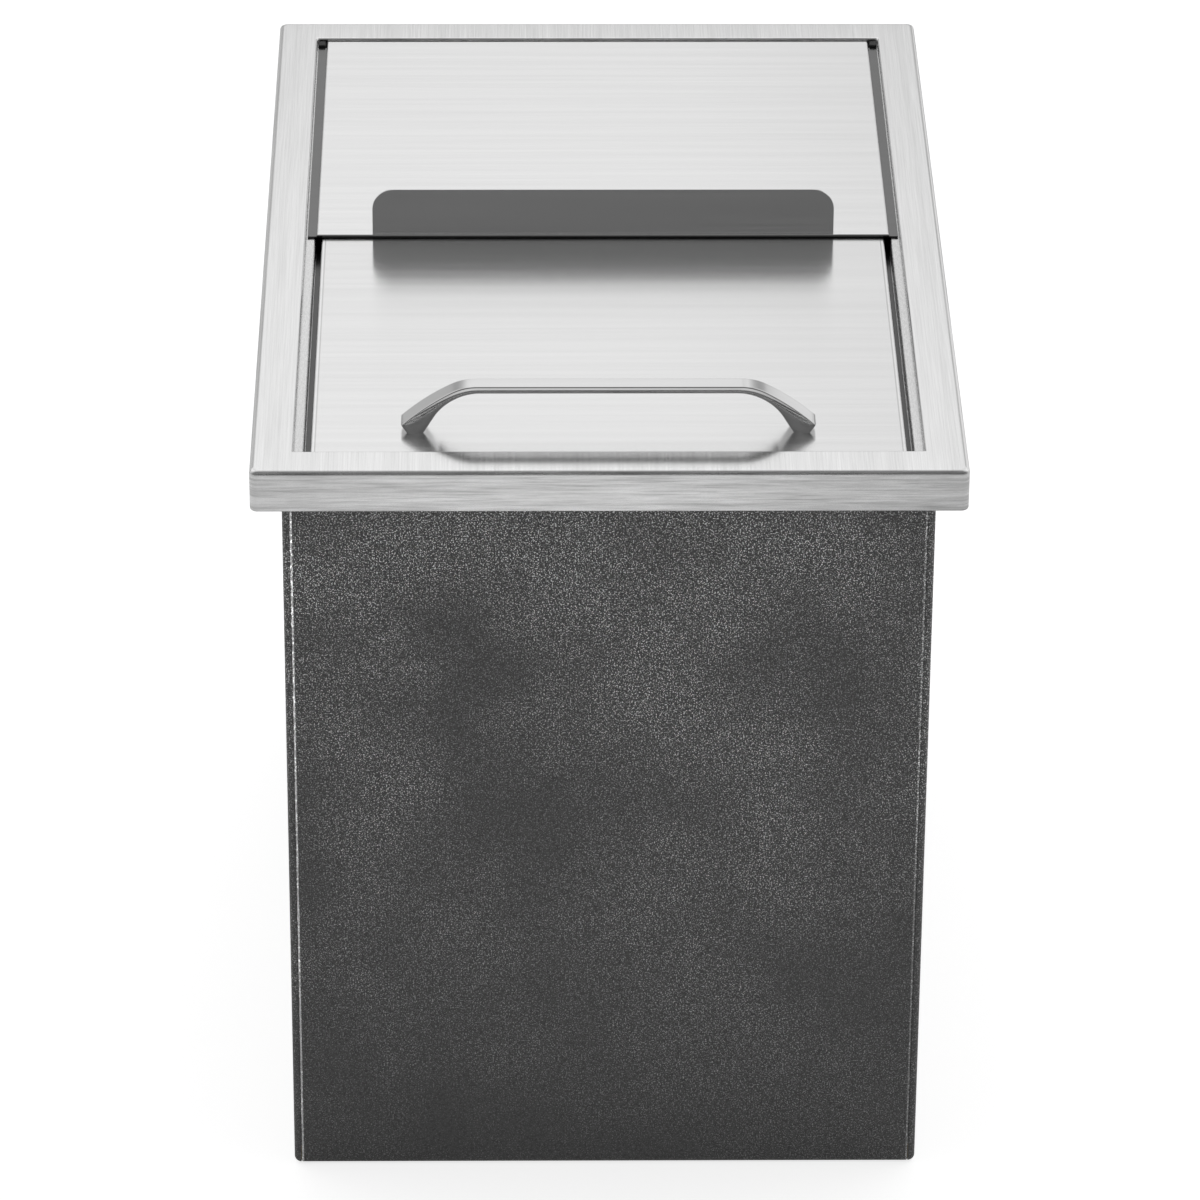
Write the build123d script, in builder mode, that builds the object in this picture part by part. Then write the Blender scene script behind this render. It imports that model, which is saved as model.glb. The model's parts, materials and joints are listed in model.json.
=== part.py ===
from build123d import *
import math
import os

# Drop-in ice bin: an insulated stainless basin that hangs by its rim in a counter's cut-out,
# with a rear cover that slides on upper ledges and a front cover that slides below it.
# X runs from left to right, the front is -Y and +Z is up. The origin is the middle of the
# base, on the floor that the bin stands on before it is dropped in. Sizes are in millimetres.

os.makedirs("parts", exist_ok=True)

# Overall size
rim_x = 457.0                 # rim, left to right
rim_y = 686.0                 # rim, front to back
rim_top = 540.0               # floor to the rim's top face

# Sheet metal
sheet = 1.0                   # stainless sheet of the rim, basin, rails and covers
shell_sheet = 1.0             # painted steel sheet of the outer body and the base

# Rim
rim_overhang = 19.5           # body wall out to the face of the rim's lip
rim_seat = 8.0                # rim's inner edge out to the body wall
lip_drop = 29.5               # height of the folded-down lip
lip_hem = 8.0                 # width of the return along the lip's bottom
rim_corner = 4.5              # rim's corners, seen from above
rim_bend = 2.2                # outer radius of the fold along the rim's outer edge
mouth_bend = 1.4              # outer radius of the fold along the rim's inner edge
hem_bend = 1.2                # outer radius of the fold along the lip's bottom
mouth_corner = 5.0            # corners of the rim's opening, seen from above
web_rise = 1.0                # upper ledge up to the bottom of the rim's inner web

# Covers and the ledges that they slide on
end_gap = 1.0                 # covers to the rim's inner edge, at the front, back and sides
slide_gap = 0.3               # running gap between a cover's side flange and its ledge
pass_gap = 0.4                # rear cover's flanges down to the front cover's top
rear_cover_drop = 1.8         # rim top down to the rear cover's top
rear_skirt = 2.4              # height of the rear cover's sides
front_skirt = 11.2            # height of the front cover's sides
rear_cover_side = 7.0         # rim's inner edge in to the rear cover's side
ledge_wide = 6.3              # width of the upper ledge
groove = 4.2                  # upper ledge in to the front cover's side
ledge_lap = 8.0               # lower ledge that lies under the front cover
flange_gap = 0.5              # front cover's side flange to the upper ledge's web
rail_notch = 2.0              # gap at the front end of each rail
front_reach = 314.5           # front cover's length in front of the rear cover
cover_overlap = 22.0          # front cover's length under the rear cover
cover_bend = 1.2              # outer radius of the covers' folds
cover_hem = 12.0              # depth of the hems along the rear cover's front and back

# Upstand on the rear cover's front edge
upstand_wide = 312.0
upstand_tall = 33.6
upstand_corner = 14.8         # radius of its two top corners
upstand_sheet = 1.2
upstand_foot = 16.0           # depth of the foot welded to the cover
upstand_bend = 1.4            # outer radius of the fold between plate and foot

# Bar handle on the front cover
handle_back = 33.0            # cover's front edge to the bar's front face
handle_span = 248.0           # between the centres of its two screws
handle_high = 32.5            # cover to the bar's top
bar_thick = 5.0
bar_deep = 12.5               # bar, front to back
foot_deep = 16.5              # foot, front to back
foot_wide = 11.2              # foot, left to right, where it stands on the cover
foot_bulge = 3.3              # outer side of the foot past its sole
foot_bulge_high = 5.5         # height of that bulge over the cover
leg_run = 39.0                # screw in to the end of the bar's straight top
shoulder_run = 16.0           # length and drop of the first, tighter bend of the top
shoulder_drop = 4.0
arch_start = 2.5              # how much shorter the straight is under the bar
arch_run = 29.4               # length and drop of the bend under the bar
arch_drop = 16.6
handle_edge = 0.7             # rounding of the handle's long edges
sole_edge = 0.1               # edges this near to the cover stay sharp

# Screws and washers that hold the handle
screw_d = 3.9                 # an M4 screw over its thread
screw_fit = 0.05              # radial gap round the screws
screw_grip = 7.0              # thread length inside the foot
screw_head_d = 8.0
screw_head_high = 2.6
screw_head_round = 0.9
screw_socket_d = 2.5
screw_socket_deep = 1.8
washer_d = 12.0
washer_thick = 1.0

# Rubber stops at the back ends of the upper ledges
stop_long = 7.0
stop_high = 3.4
stop_wide = 5.2
stop_round = 1.6
stop_wall_gap = 0.8           # stop to the rim's inner web
stop_gap = 0.4                # rear cover's side flange to the stop

# Outer body
body_corner = 4.0             # upright corner folds, seen from above
base_bend = 5.0               # fold between the walls and their returns under the base
seam_in = 4.6                 # body's side in to the seams on its front and back
seam_gap = 0.4
seam_round = 0.8              # rounding of the front and back panels at the seams
lap_wide = 12.0               # flange of the side panel behind the front panel
lap_clear = 10.0              # that flange's ends to the body's top and base folds
top_return = 4.6              # flange along the walls' top, under the rim
base_return = 20.0            # flange along the walls' bottom

# Base panel and its rivets
base_raise = 13.0             # step up inside the base's edge, above the drain nut
base_step_in = 24.0           # body wall in to that step
base_corner = 12.0
base_fold = 1.5               # outer radius of the step's upper fold
rivet_in = 13.0               # body wall in to the rivets
rivet_d = 4.8
rivet_head_d = 7.6
rivet_tail_d = 6.6
rivet_tail_high = 2.5
rivet_tail_round = 0.8
rivet_pitch_x = 150.0
rivet_pitch_y = 140.0
rivet_holes_x = 3             # rivets along the front, and as many along the back
rivet_holes_y = 4             # rivets along each side

# Basin
floor_thick = 39.0            # floor of the room up to the basin's floor
basin_corner = 20.0           # upright corners
basin_cove = 12.0             # rounding between floor and walls
dish_d = 180.0                # shallow dish round the drain
dish_fall = 3.0
seat_d = 62.0                 # flat recess for the drain's flange
seat_fall = 3.5

# Drain
gasket_thick = 1.5
drain_flange_d = 58.0
drain_flange_thick = 2.0
drain_pipe_d = 33.2
drain_hole_gap = 0.4          # radial gap round the pipe in basin and base
drain_end = 4.0               # floor of the room up to the pipe's end
mouth_d = 29.8                # tapered seat for the plug, at the top
mouth_low_d = 27.0            # the same at its bottom
mouth_deep = 8.0
strainer_room = 4.0           # wide bore under the plug's seat, for the strainer
bore_d = 24.0
outlet_d = 26.4               # threaded outlet at the pipe's end
outlet_deep = 14.0
strainer_thick = 1.2
strainer_gap = 0.1
strainer_hole_d = 4.0
strainer_ring_d = 15.0        # circle of the strainer's outer holes
strainer_holes = 8
washer_drain_d = 50.0
washer_drain_thick = 1.5
nut_flats = 46.0
nut_high = 7.0
nut_gap = 0.05                # radial gap between nut and pipe

# Plug
plug_gap = 0.3                # all round, between plug and seat
plug_flange_d = 38.0
plug_flange_thick = 3.0
plug_round = 1.0              # rounding of the flange's upper edge
plug_deep = 6.5               # stem below the flange
plug_tab_wide = 10.0
plug_tab_thick = 4.0
plug_tab_high = 8.0
plug_tab_round = 3.4          # rounding of the tab's top, which the eye is centred on
ring_d = 20.0                 # pull ring, on its wire's centre line
ring_wire_d = 2.2
ring_eye_gap = 0.5            # radial gap in the tab's eye
ring_dip = 9.0                # degrees that the ring slopes down from the eye as it lies on the plug

# Places that follow from the sizes above
rim_face = rim_overhang + rim_seat
body_x = rim_x - 2 * rim_overhang
body_y = rim_y - 2 * rim_overhang
lip_bottom = rim_top - lip_drop
mouth_x = rim_x - 2 * rim_face
mouth_y = rim_y - 2 * rim_face
ledge_drop = rear_cover_drop + rear_skirt + slide_gap
front_cover_drop = rear_cover_drop + rear_skirt + pass_gap
lower_ledge_drop = front_cover_drop + front_skirt + slide_gap
upper_ledge = rim_top - ledge_drop
lower_ledge = rim_top - lower_ledge_drop
rear_cover_top = rim_top - rear_cover_drop
front_cover_top = rim_top - front_cover_drop
web_bottom = upper_ledge + web_rise
step_x = mouth_x + 2 * sheet
step_y = mouth_y + 2 * sheet
rear_cover_x = mouth_x - 2 * rear_cover_side
rail_inner_x = mouth_x / 2 - ledge_wide
front_cover_x = 2 * (rail_inner_x - groove)
basin_inset = (mouth_x - front_cover_x) / 2 + ledge_lap
basin_x = mouth_x - 2 * basin_inset
basin_y = mouth_y - 2 * basin_inset
front_edge_y = -mouth_y / 2 + end_gap
split_y = front_edge_y + front_reach
back_edge_y = mouth_y / 2 - end_gap
seam_x = body_x / 2 - seam_in
shell_top = rim_top - 2 * sheet
flange_under = shell_top - shell_sheet
base_top = shell_sheet + base_raise
basin_floor = floor_thick
dish_floor = basin_floor - dish_fall
seat_floor = dish_floor - seat_fall
drain_under = seat_floor + gasket_thick
drain_top = drain_under + drain_flange_thick
strainer_floor = drain_top - mouth_deep - strainer_room
base_underside = base_top - shell_sheet


# Rim: top face, folded-down lip with its return, and the short web round the opening
with BuildPart() as rim_hollow:
    with BuildSketch(Plane.XY.offset(lip_bottom + sheet)):
        RectangleRounded(rim_x - 2 * sheet, rim_y - 2 * sheet, rim_corner - sheet)
    extrude(amount=lip_drop - 2 * sheet)
    fillet(rim_hollow.faces().sort_by(Axis.Z)[-1].edges(), rim_bend - sheet)

with BuildPart() as rim_frame:
    with BuildSketch(Plane.XY.offset(lip_bottom)):
        RectangleRounded(rim_x, rim_y, rim_corner)
    extrude(amount=lip_drop)
    fillet(rim_frame.faces().sort_by(Axis.Z)[-1].edges(), rim_bend)
    fillet(rim_frame.faces().sort_by(Axis.Z)[0].edges(), hem_bend)
    add(rim_hollow.part, mode=Mode.SUBTRACT)
    with BuildSketch(Plane.XY.offset(lip_bottom)):
        RectangleRounded(rim_x - 2 * (sheet + lip_hem), rim_y - 2 * (sheet + lip_hem), rim_corner)
    extrude(amount=sheet, mode=Mode.SUBTRACT)
    with BuildSketch(Plane.XY.offset(web_bottom)):
        RectangleRounded(step_x, step_y, mouth_corner + sheet)
    extrude(amount=rim_top - web_bottom - sheet)
    with BuildSketch(Plane.XY.offset(web_bottom)):
        RectangleRounded(mouth_x, mouth_y, mouth_corner)
    extrude(amount=rim_top - web_bottom, mode=Mode.SUBTRACT)
    fillet(rim_frame.faces().sort_by(Axis.Z)[-1].inner_wires()[0].edges(), mouth_bend)
rim_frame.part.label = "rim_frame"
export_step(rim_frame.part, "parts/rim_frame.step")


def basin_space(grow):
    """Room inside the basin's walls, floor, dish and drain seat, with every side moved out by grow."""
    with BuildPart() as space:
        with BuildSketch(Plane.XY.offset(basin_floor - grow)):
            RectangleRounded(basin_x + 2 * grow, basin_y + 2 * grow, basin_corner + grow)
        extrude(amount=lower_ledge - basin_floor + grow)
        fillet(space.faces().sort_by(Axis.Z)[0].edges(), basin_cove + grow)
        with BuildSketch(Plane.XZ):
            with BuildLine():
                Polyline(
                    (0, basin_floor + sheet),
                    (dish_d / 2, basin_floor + sheet),
                    (dish_d / 2, basin_floor - grow),
                    (seat_d / 2 + grow, dish_floor - grow),
                    (seat_d / 2 + grow, seat_floor - grow),
                    (0, seat_floor - grow),
                    close=True,
                )
            make_face()
        revolve(axis=Axis.Z)
    return space.part


# Basin: one tub of sheet, with rounded corners and a floor that falls to the drain
with BuildPart() as basin:
    add(basin_space(sheet))
    add(basin_space(0), mode=Mode.SUBTRACT)
    with Locations((0, 0, seat_floor)):
        Cylinder(drain_pipe_d / 2 + drain_hole_gap, 4 * sheet, mode=Mode.SUBTRACT)
basin.part.label = "basin"
export_step(basin.part, "parts/basin.step")


# Ledge ring: welded round the basin's mouth, with the step up from its ledge and the flange under the rim
with BuildPart() as ledge_ring:
    with BuildSketch(Plane.XY.offset(lower_ledge - sheet)):
        RectangleRounded(step_x + 2 * sheet, step_y + 2 * sheet, mouth_corner + 2 * sheet)
    extrude(amount=rim_top - lower_ledge)
    with BuildSketch(Plane.XY.offset(rim_top - 2 * sheet)):
        RectangleRounded(body_x - shell_sheet, body_y - shell_sheet, body_corner)
    extrude(amount=sheet)
    with BuildSketch(Plane.XY.offset(lower_ledge)):
        RectangleRounded(step_x, step_y, mouth_corner + sheet)
    extrude(amount=lower_ledge_drop, mode=Mode.SUBTRACT)
    with BuildSketch(Plane.XY.offset(lower_ledge - sheet)):
        RectangleRounded(basin_x + 2 * sheet, basin_y + 2 * sheet, basin_corner + sheet)
    extrude(amount=sheet, mode=Mode.SUBTRACT)
ledge_ring.part.label = "ledge_ring"
export_step(ledge_ring.part, "parts/ledge_ring.step")


# Rails: a stepped strip along each side, whose top is the ledge for the rear cover
with BuildPart() as left_rail:
    rail_front = -mouth_y / 2 + rail_notch
    rail_long = mouth_y - rail_notch - end_gap
    rail_out = -step_x / 2
    with BuildSketch(Plane((0, rail_front, 0), x_dir=(1, 0, 0), z_dir=(0, -1, 0))):
        with BuildLine():
            Polyline(
                (rail_out, upper_ledge),
                (-rail_inner_x, upper_ledge),
                (-rail_inner_x, lower_ledge),
                (rail_out, lower_ledge),
                (rail_out, lower_ledge + sheet),
                (-rail_inner_x - sheet, lower_ledge + sheet),
                (-rail_inner_x - sheet, upper_ledge - sheet),
                (rail_out, upper_ledge - sheet),
                close=True,
            )
        make_face()
    extrude(amount=-rail_long)
    fillet(left_rail.edges().filter_by(Axis.Y).group_by(Axis.X)[-1].group_by(Axis.Z)[-1], cover_bend)
    with BuildSketch(Plane.XY.offset(lower_ledge)):
        RectangleRounded(step_x, step_y, mouth_corner + sheet)
    extrude(amount=lower_ledge_drop, mode=Mode.INTERSECT)
left_rail.part.label = "left_rail"
export_step(left_rail.part, "parts/left_rail.step")

with BuildPart() as right_rail:
    add(left_rail.part)
    mirror(about=Plane.YZ, mode=Mode.REPLACE)
right_rail.part.label = "right_rail"
export_step(right_rail.part, "parts/right_rail.step")


# Rubber stops: they end the rear cover's travel at the back of the upper ledges
with BuildPart() as rail_stops:
    stop_x = (mouth_x - stop_wide) / 2 - stop_wall_gap
    stop_y = (mouth_y - stop_long - mouth_corner) / 2
    with BuildSketch(Plane.XY.offset(upper_ledge)):
        with Locations((-stop_x, stop_y), (stop_x, stop_y)):
            Rectangle(stop_wide, stop_long)
    extrude(amount=stop_high)
    fillet(rail_stops.edges().filter_by(Axis.Z), stop_round)
    fillet(rail_stops.faces().group_by(Axis.Z)[-1].edges(), stop_round / 2)
rail_stops.part.label = "rail_stops"
export_step(rail_stops.part, "parts/rail_stops.step")


# Rear cover: a flat top with hemmed ends, short sides and flanges that ride on the upper ledges
with BuildPart() as rear_cover:
    rear_long = back_edge_y - split_y
    rear_middle = (0, (back_edge_y + split_y) / 2)
    with BuildSketch(Plane.XY.offset(rear_cover_top - rear_skirt)):
        with Locations(rear_middle):
            Rectangle(rear_cover_x, rear_long)
    extrude(amount=rear_skirt)
    fillet(rear_cover.faces().sort_by(Axis.Z)[-1].edges(), cover_bend)
    with BuildSketch(Plane.XY.offset(rear_cover_top - rear_skirt)):
        with Locations(rear_middle):
            Rectangle(rear_cover_x - 2 * sheet, rear_long)
    extrude(amount=rear_skirt - 2 * sheet, mode=Mode.SUBTRACT)
    with BuildSketch(Plane.XY.offset(rear_cover_top - 2 * sheet)):
        with Locations(rear_middle):
            Rectangle(rear_cover_x - 2 * sheet, rear_long - 2 * cover_hem)
    extrude(amount=sheet, mode=Mode.SUBTRACT)
    flange_long = (mouth_y - mouth_corner) / 2 - stop_long - stop_gap - split_y
    flange_wide = mouth_x - 2 * end_gap
    with BuildSketch(Plane.XY.offset(rear_cover_top - rear_skirt)):
        with Locations((0, split_y + flange_long / 2)):
            Rectangle(flange_wide, flange_long)
            Rectangle(rear_cover_x - 2 * sheet, flange_long, mode=Mode.SUBTRACT)
    extrude(amount=sheet)
rear_cover.part.label = "rear_cover"
export_step(rear_cover.part, "parts/rear_cover.step")


# Upstand: the upright plate that the rear cover is pulled and pushed by
with BuildPart() as rear_cover_upstand:
    with BuildSketch(Plane((0, split_y, rear_cover_top), x_dir=(1, 0, 0), z_dir=(0, -1, 0))):
        with Locations((0, upstand_tall / 2)):
            Rectangle(upstand_wide, upstand_tall)
    extrude(amount=-upstand_sheet)
    with BuildSketch(Plane((0, split_y, rear_cover_top), x_dir=(1, 0, 0), z_dir=(0, 0, 1))):
        with Locations((0, upstand_foot / 2)):
            Rectangle(upstand_wide, upstand_foot)
    extrude(amount=upstand_sheet)
    upright_edges = rear_cover_upstand.edges().filter_by(Axis.Y)
    fillet(upright_edges.group_by(Axis.Z)[-1], upstand_corner)
    foot_fold = rear_cover_upstand.edges().filter_by(Axis.X).group_by(Axis.Y)[0].group_by(Axis.Z)[0]
    fillet(foot_fold, upstand_bend)
rear_cover_upstand.part.label = "rear_cover_upstand"
export_step(rear_cover_upstand.part, "parts/rear_cover_upstand.step")


# Front cover: a deeper pan whose side flanges ride on the lower ledges
foot_x = handle_span / 2
handle_y = front_edge_y + handle_back + bar_deep / 2
with BuildPart() as front_cover:
    front_long = front_reach + cover_overlap
    front_middle = (0, front_edge_y + front_long / 2)
    with BuildSketch(Plane.XY.offset(front_cover_top - front_skirt)):
        with Locations(front_middle):
            Rectangle(front_cover_x, front_long)
    extrude(amount=front_skirt)
    fillet(front_cover.faces().sort_by(Axis.Z)[-1].edges(), cover_bend)
    with BuildSketch(Plane.XY.offset(front_cover_top - front_skirt)):
        with Locations(front_middle):
            Rectangle(front_cover_x - 2 * sheet, front_long - 2 * sheet)
    extrude(amount=front_skirt - sheet, mode=Mode.SUBTRACT)
    with BuildSketch(Plane.XY.offset(front_cover_top - front_skirt)):
        with Locations(front_middle):
            Rectangle(2 * (rail_inner_x - flange_gap), front_long)
            Rectangle(front_cover_x - 2 * sheet, front_long, mode=Mode.SUBTRACT)
    extrude(amount=sheet)
    with Locations((-foot_x, handle_y, front_cover_top), (foot_x, handle_y, front_cover_top)):
        Cylinder(screw_d / 2 + screw_fit, 4 * sheet, mode=Mode.SUBTRACT)
front_cover.part.label = "front_cover"
export_step(front_cover.part, "parts/front_cover.step")


# Bar handle: a low bow whose legs sweep down and out, and widen to its feet
with BuildPart() as handle_plan:
    with BuildSketch(Plane.XY.offset(front_cover_top)):
        with Locations((0, handle_y)):
            Rectangle(handle_span - 2 * leg_run, bar_deep)
        for side in (-1, 1):
            inner_x = side * (foot_x - leg_run)
            outer_x = side * (foot_x + foot_wide / 2 + foot_bulge)
            with BuildLine():
                Polyline(
                    (inner_x, handle_y - bar_deep / 2),
                    (outer_x, handle_y - foot_deep / 2),
                    (outer_x, handle_y + foot_deep / 2),
                    (inner_x, handle_y + bar_deep / 2),
                    close=True,
                )
            make_face()
    extrude(amount=handle_high)

with BuildPart() as bar_handle:
    face_plane = Plane((0, handle_y, front_cover_top), x_dir=(1, 0, 0), z_dir=(0, -1, 0))
    bar_end = foot_x - leg_run
    sole_in = foot_x - foot_wide / 2
    sole_out = foot_x + foot_wide / 2
    with BuildSketch(face_plane):
        with BuildLine():
            top = Line((0, handle_high), (bar_end, handle_high))
            shoulder_end = (bar_end + shoulder_run, handle_high - shoulder_drop)
            shoulder = TangentArc(top @ 1, shoulder_end, tangent=(1, 0))
            leg = TangentArc(shoulder @ 1, (sole_out + foot_bulge, foot_bulge_high), tangent=shoulder % 1)
            Line(leg @ 1, (sole_out, 0))
            Line((sole_out, 0), (sole_in, 0))
            arch_from = (bar_end - arch_start, handle_high - bar_thick)
            arch_to = (arch_from[0] + arch_run, arch_from[1] - arch_drop)
            Line((sole_in, 0), arch_to)
            TangentArc(arch_from, arch_to, tangent=(1, 0))
            Line(arch_from, (0, handle_high - bar_thick))
            Line((0, handle_high - bar_thick), (0, handle_high))
        make_face()
        mirror(about=Plane.YZ)
    extrude(amount=foot_deep, both=True)
    add(handle_plan.part, mode=Mode.INTERSECT)
    sole_top = front_cover_top + sole_edge
    above_sole = bar_handle.edges().filter_by(lambda e: e.bounding_box().max.Z > sole_top)
    across = above_sole.filter_by(Axis.Y)
    fillet([e for e in above_sole if e not in across], handle_edge)
    with Locations((-foot_x, handle_y, front_cover_top), (foot_x, handle_y, front_cover_top)):
        Cylinder(screw_d / 2 + screw_fit, 2 * (screw_grip + screw_d / 2), mode=Mode.SUBTRACT)
bar_handle.part.label = "bar_handle"
export_step(bar_handle.part, "parts/bar_handle.step")


# Screws and washers under the front cover
cover_underside = front_cover_top - sheet
with BuildPart() as handle_washers:
    with BuildSketch(Plane.XY.offset(cover_underside - washer_thick)):
        with Locations((-foot_x, handle_y), (foot_x, handle_y)):
            Circle(washer_d / 2)
            Circle(screw_d / 2 + screw_fit, mode=Mode.SUBTRACT)
    extrude(amount=washer_thick)
handle_washers.part.label = "handle_washers"
export_step(handle_washers.part, "parts/handle_washers.step")

with BuildPart() as handle_screws:
    head_top = cover_underside - washer_thick
    with BuildSketch(Plane.XY.offset(head_top - screw_head_high)):
        with Locations((-foot_x, handle_y), (foot_x, handle_y)):
            Circle(screw_head_d / 2)
    extrude(amount=screw_head_high)
    fillet(handle_screws.faces().group_by(Axis.Z)[0].edges(), screw_head_round)
    with BuildSketch(Plane.XY.offset(head_top)):
        with Locations((-foot_x, handle_y), (foot_x, handle_y)):
            Circle(screw_d / 2)
    extrude(amount=washer_thick + sheet + screw_grip)
    with BuildSketch(Plane.XY.offset(head_top - screw_head_high)):
        with Locations((-foot_x, handle_y), (foot_x, handle_y)):
            RegularPolygon(screw_socket_d / 2, 6, major_radius=False)
    extrude(amount=screw_socket_deep, mode=Mode.SUBTRACT)
handle_screws.part.label = "handle_screws"
export_step(handle_screws.part, "parts/handle_screws.step")


# Outer body: one folded box, cut into two side panels and a front and a back panel
with BuildPart() as shell_cavity:
    with BuildSketch(Plane.XY.offset(shell_sheet)):
        RectangleRounded(body_x - 2 * shell_sheet, body_y - 2 * shell_sheet, body_corner - shell_sheet)
    extrude(amount=flange_under - shell_sheet)
    fillet(shell_cavity.faces().sort_by(Axis.Z)[0].edges(), base_bend - shell_sheet)

with BuildPart() as shell_box:
    with BuildSketch():
        RectangleRounded(body_x, body_y, body_corner)
    extrude(amount=shell_top)
    fillet(shell_box.faces().sort_by(Axis.Z)[0].edges(), base_bend)
    add(shell_cavity.part, mode=Mode.SUBTRACT)
    with BuildSketch():
        Rectangle(body_x - 2 * base_return, body_y - 2 * base_return)
    extrude(amount=shell_sheet, mode=Mode.SUBTRACT)
    with BuildSketch(Plane.XY.offset(flange_under)):
        Rectangle(body_x - 2 * (shell_sheet + top_return), body_y - 2 * (shell_sheet + top_return))
    extrude(amount=shell_sheet, mode=Mode.SUBTRACT)

rivet_x = body_x - 2 * rivet_in
rivet_y = body_y - 2 * rivet_in
rivet_grids = [
    GridLocations(rivet_pitch_x, rivet_y, rivet_holes_x, 2),
    GridLocations(rivet_x, rivet_pitch_y, 2, rivet_holes_y),
]
rivet_spots = [(spot.position.X, spot.position.Y) for grid in rivet_grids for spot in grid]

rivet_taper = math.degrees(math.atan((rivet_head_d - rivet_d) / 2 / shell_sheet))
with BuildPart() as rivet_holes:
    with BuildSketch():
        with Locations(rivet_spots):
            Circle(rivet_head_d / 2)
    extrude(amount=shell_sheet, taper=rivet_taper)
    with BuildSketch():
        with Locations(rivet_spots):
            Circle(rivet_d / 2)
    extrude(amount=2 * shell_sheet)

with BuildPart() as front_zone:
    for high, fold in ((shell_sheet, base_return), (shell_top, top_return + shell_sheet)):
        with BuildSketch():
            with Locations((0, -(body_y - fold) / 2)):
                Rectangle(2 * (seam_x - seam_gap), fold)
        extrude(amount=high)

with BuildPart() as front_panel:
    add(shell_box.part)
    add(front_zone.part, mode=Mode.INTERSECT)
    fillet(front_panel.edges().filter_by(Axis.Z).group_by(Axis.Y)[0], seam_round)
    add(rivet_holes.part, mode=Mode.SUBTRACT)
front_panel.part.label = "front_panel"
export_step(front_panel.part, "parts/front_panel.step")

with BuildPart() as back_panel:
    add(front_panel.part)
    mirror(about=Plane.XZ, mode=Mode.REPLACE)
back_panel.part.label = "back_panel"
export_step(back_panel.part, "parts/back_panel.step")

with BuildPart() as side_zone:
    with BuildSketch():
        with Locations((-(seam_x + body_x / 2) / 2, 0)):
            Rectangle(seam_in, body_y)
    extrude(amount=shell_top)
    top_fold = top_return + shell_sheet
    for low, high, fold in ((0, shell_sheet, base_return), (flange_under, shell_top, top_fold)):
        with BuildSketch(Plane.XY.offset(low)):
            with Locations((-(body_x - fold) / 2, 0)):
                Rectangle(fold, body_y - 2 * (max(fold, seam_in) + seam_gap))
        extrude(amount=high - low)

with BuildPart() as left_panel:
    add(shell_box.part)
    add(side_zone.part, mode=Mode.INTERSECT)
    lap_low = base_bend + lap_clear
    lap_high = flange_under - lap_clear
    lap_inner = -(seam_x - lap_wide)
    lap_outer = -(seam_x + body_x / 2) / 2
    for side in (-1, 1):
        lap_y = side * (body_y / 2 - shell_sheet - shell_sheet / 2)
        with BuildSketch(Plane.XY.offset(lap_low)):
            with Locations(((lap_inner + lap_outer) / 2, lap_y)):
                Rectangle(lap_inner - lap_outer, shell_sheet)
        extrude(amount=lap_high - lap_low)
    add(rivet_holes.part, mode=Mode.SUBTRACT)
left_panel.part.label = "left_panel"
export_step(left_panel.part, "parts/left_panel.step")

with BuildPart() as right_panel:
    add(left_panel.part)
    mirror(about=Plane.YZ, mode=Mode.REPLACE)
right_panel.part.label = "right_panel"
export_step(right_panel.part, "parts/right_panel.step")


# Base panel: rests on the walls' returns and steps up to clear the drain's nut
with BuildPart() as base_panel:
    base_x = body_x - 2 * (base_bend + shell_sheet)
    base_y = body_y - 2 * (base_bend + shell_sheet)
    raised_x = body_x - 2 * base_step_in
    raised_y = body_y - 2 * base_step_in
    with BuildSketch(Plane.XY.offset(shell_sheet)):
        RectangleRounded(base_x, base_y, body_corner)
    extrude(amount=shell_sheet)
    with BuildSketch(Plane.XY.offset(shell_sheet)):
        RectangleRounded(raised_x, raised_y, base_corner)
    extrude(amount=base_raise)
    with BuildSketch(Plane.XY.offset(shell_sheet)):
        RectangleRounded(raised_x - 2 * shell_sheet, raised_y - 2 * shell_sheet, base_corner - shell_sheet)
    extrude(amount=base_raise - shell_sheet, mode=Mode.SUBTRACT)
    fillet(base_panel.faces().sort_by(Axis.Z)[-1].edges(), base_fold)
    with Locations((0, 0, base_top)):
        Cylinder(drain_pipe_d / 2 + drain_hole_gap, 4 * shell_sheet, mode=Mode.SUBTRACT)
    add(rivet_holes.part, mode=Mode.SUBTRACT)
base_panel.part.label = "base_panel"
export_step(base_panel.part, "parts/base_panel.step")


# Blind rivets: heads flush under the walls' returns, tails spread inside
with BuildPart() as base_rivets:
    add(rivet_holes.part)
    with BuildSketch(Plane.XY.offset(2 * shell_sheet)):
        with Locations(rivet_spots):
            Circle(rivet_tail_d / 2)
    extrude(amount=rivet_tail_high)
    fillet(base_rivets.faces().group_by(Axis.Z)[-1].edges(), rivet_tail_round)
base_rivets.part.label = "base_rivets"
export_step(base_rivets.part, "parts/base_rivets.step")


# Drain: a flanged pipe through basin, foam and base, sealed above and clamped by a nut below
with BuildPart() as drain_gasket:
    with BuildSketch(Plane.XY.offset(seat_floor)):
        Circle(drain_flange_d / 2)
        Circle(drain_pipe_d / 2 + drain_hole_gap, mode=Mode.SUBTRACT)
    extrude(amount=gasket_thick)
drain_gasket.part.label = "drain_gasket"
export_step(drain_gasket.part, "parts/drain_gasket.step")

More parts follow.
